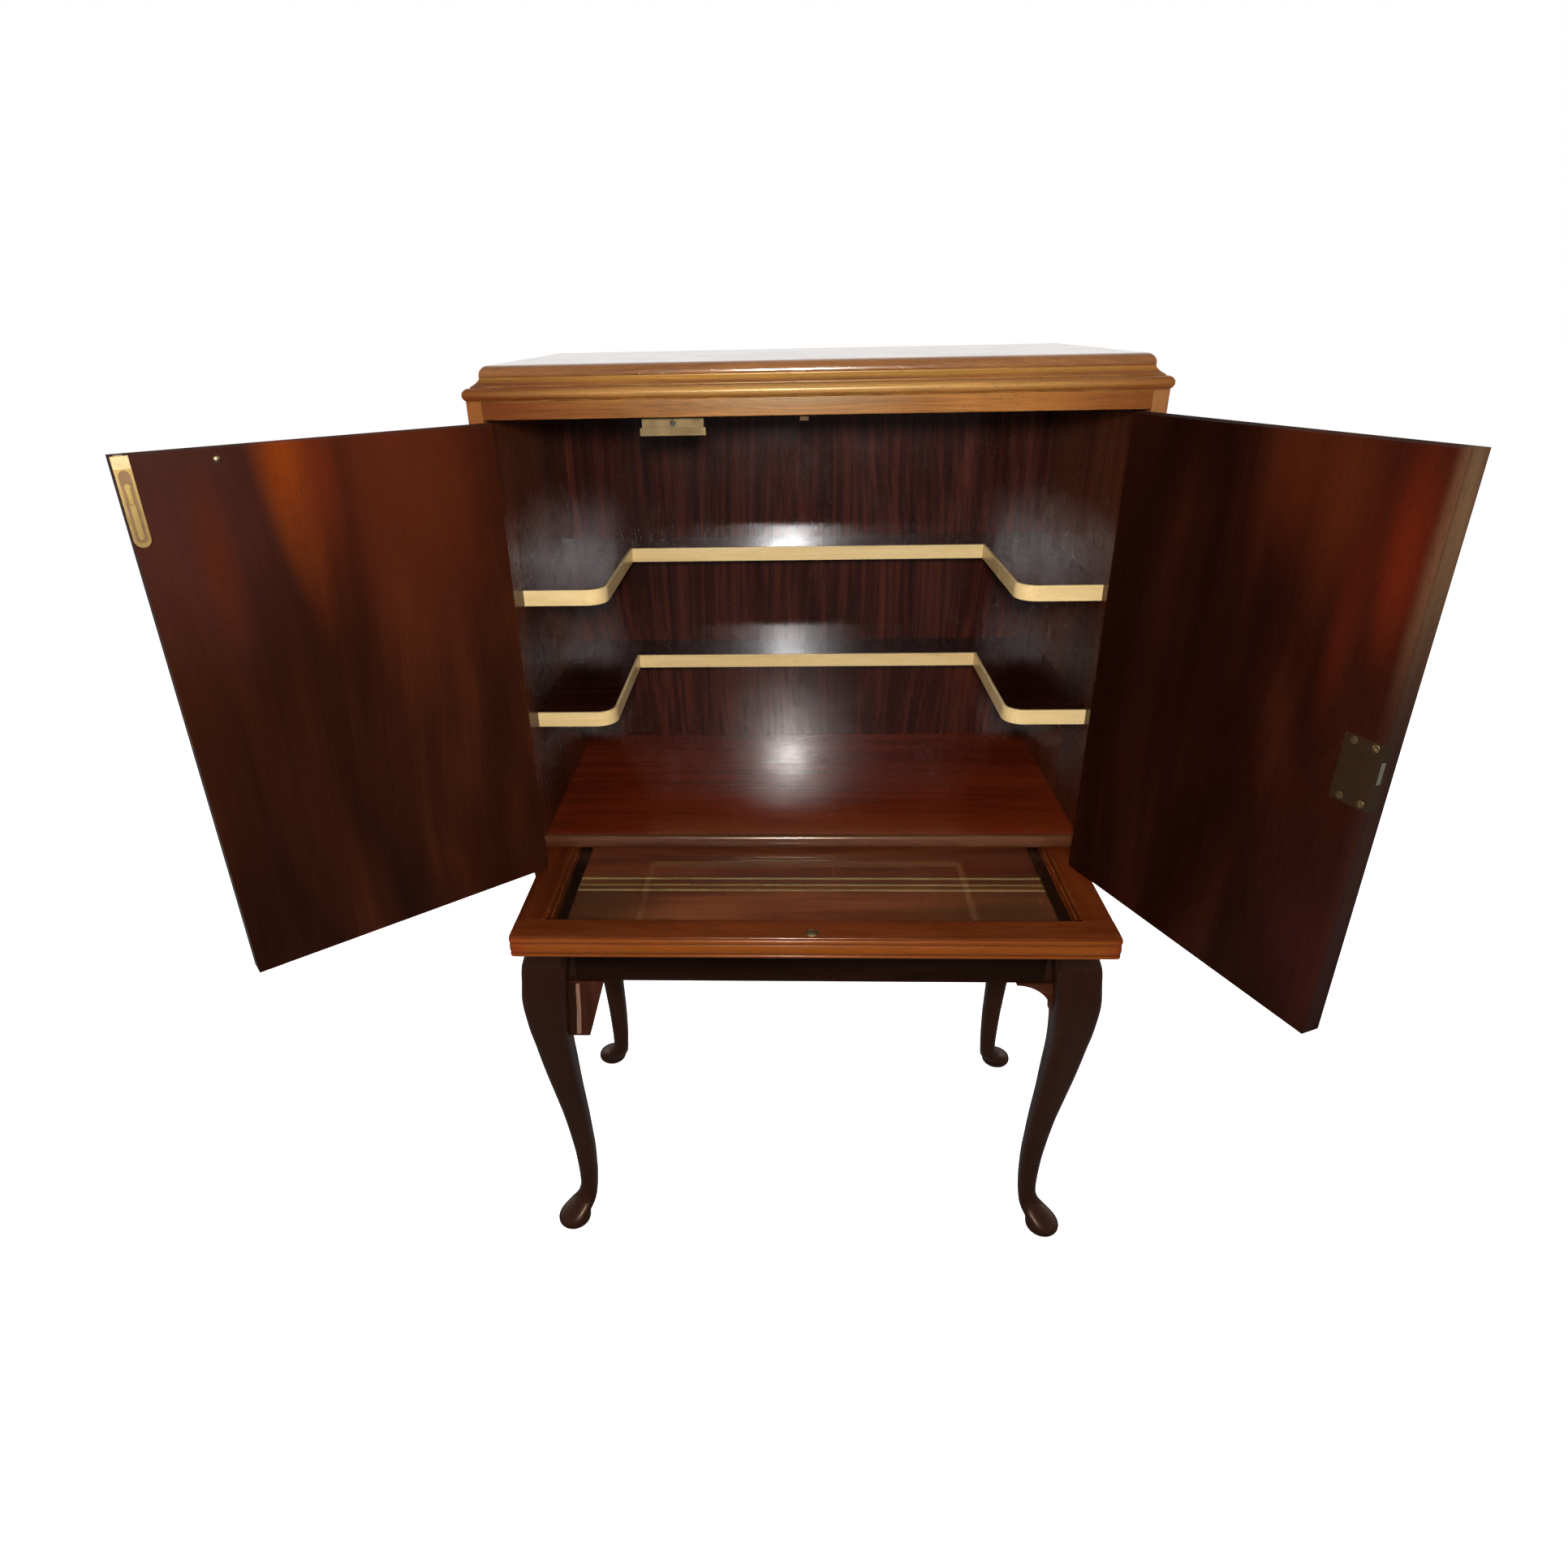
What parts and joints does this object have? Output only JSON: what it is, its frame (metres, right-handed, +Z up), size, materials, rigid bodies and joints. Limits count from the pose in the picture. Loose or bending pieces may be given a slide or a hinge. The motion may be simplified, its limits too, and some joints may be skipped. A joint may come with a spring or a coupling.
{
  "type": "cocktail cabinet on stand",
  "caption": "Mahogany cocktail cabinet on a stand with cabriole legs: hinged doors, recessed shelves and a glazed pull-out slide.",
  "frame": {"origin": "on the floor, under the middle of the whole object's box as it stands with its doors open and its slide drawn out", "axes": "+Z up, +Y to the back, +X to the right as seen from the front"},
  "size_m": [1.1416, 0.7508, 1.286],
  "materials": {
    "mahogany": "polished",
    "dark_mahogany": "polished",
    "interior": "polished",
    "maple": "polished",
    "block_wood": "raw",
    "tray_board": "polished",
    "glass": "clear",
    "brass": "satin",
    "button": "gloss"
  },
  "bodies": {
    "cabinet": {"cap_board": "mahogany", "cornice_front": "mahogany", "cornice_left": "mahogany", "cornice_right": "mahogany", "cornice_back": "mahogany", "frieze_rail": "mahogany", "side_left": "mahogany", "side_right": "mahogany", "leg_front_left": "dark_mahogany", "leg_front_right": "dark_mahogany", "leg_back_left": "dark_mahogany", "leg_back_right": "dark_mahogany", "rail_front": "dark_mahogany", "rail_back": "dark_mahogany", "rail_left": "dark_mahogany", "rail_right": "dark_mahogany", "bracket_front_left": "dark_mahogany", "bracket_front_right": "dark_mahogany", "bracket_side_front_left": "dark_mahogany", "bracket_side_front_right": "dark_mahogany", "bracket_side_back_left": "dark_mahogany", "bracket_side_back_right": "dark_mahogany", "slide_guide_left": "dark_mahogany", "slide_guide_right": "dark_mahogany", "case_rear_rail": "dark_mahogany", "floor_lipping": "interior", "case_top": "interior", "floor_board": "interior", "shelf_upper": "interior", "shelf_lower": "interior", "back_panel": "interior", "shelf_upper_edging": "maple", "shelf_lower_edging": "maple", "corner_blocks": "block_wood", "bolt_keeper": "brass", "switch_housing": "brass", "hinge_case_leaves": "brass", "hinge_pins": "brass", "hinge_case_screws": "brass", "back_screws": "brass"},
    "left_door": {"door_left": "mahogany", "hinge_left_door_leaves": "brass", "hinge_left_door_screws": "brass", "bolt_plate": "brass", "strike_plate": "brass"},
    "right_door": {"door_right": "mahogany", "hinge_right_door_leaves": "brass", "hinge_right_door_screws": "brass", "lock_case": "brass", "lock_screws": "brass"},
    "slide": {"slide_front_rail": "mahogany", "slide_stile_left": "mahogany", "slide_stile_right": "mahogany", "slide_back_rail": "mahogany", "slide_pane": "glass", "slide_tray": "tray_board", "slide_pull": "brass"},
    "flush_bolt": {"flush_bolt": "brass"},
    "lock_bolt": {"lock_bolt": "brass"},
    "switch_button": {"switch_button": "button"}
  },
  "joints": [
    {"name": "left_door_hinge", "type": "hinge", "parent": "cabinet", "child": "left_door", "pos_m": [-0.29634, -0.03362, 0.949], "axis": [0, 0, -1], "range_deg": [-140, 35]},
    {"name": "right_door_hinge", "type": "hinge", "parent": "cabinet", "child": "right_door", "pos_m": [0.42967, -0.03362, 0.949], "axis": [0, 0, 1], "range_deg": [-113.6, 61.4]},
    {"name": "slide_pull_out", "type": "slide", "parent": "cabinet", "child": "slide", "axis": [0, -1, 0], "range_m": [-0.166, 0.04]},
    {"name": "flush_bolt_shoot", "type": "slide", "parent": "left_door", "child": "flush_bolt", "axis": [0, 0, 1], "range_m": [0, 0.01]},
    {"name": "lock_bolt_throw", "type": "slide", "parent": "right_door", "child": "lock_bolt", "axis": [0.4003, -0.9164, 0], "range_m": [0, 0.007]},
    {"name": "switch_button_press", "type": "slide", "parent": "cabinet", "child": "switch_button", "axis": [0, 1, 0], "range_m": [0, 0.004], "stiffness_N_per_m": 300, "springref_m": -0.002}
  ]
}
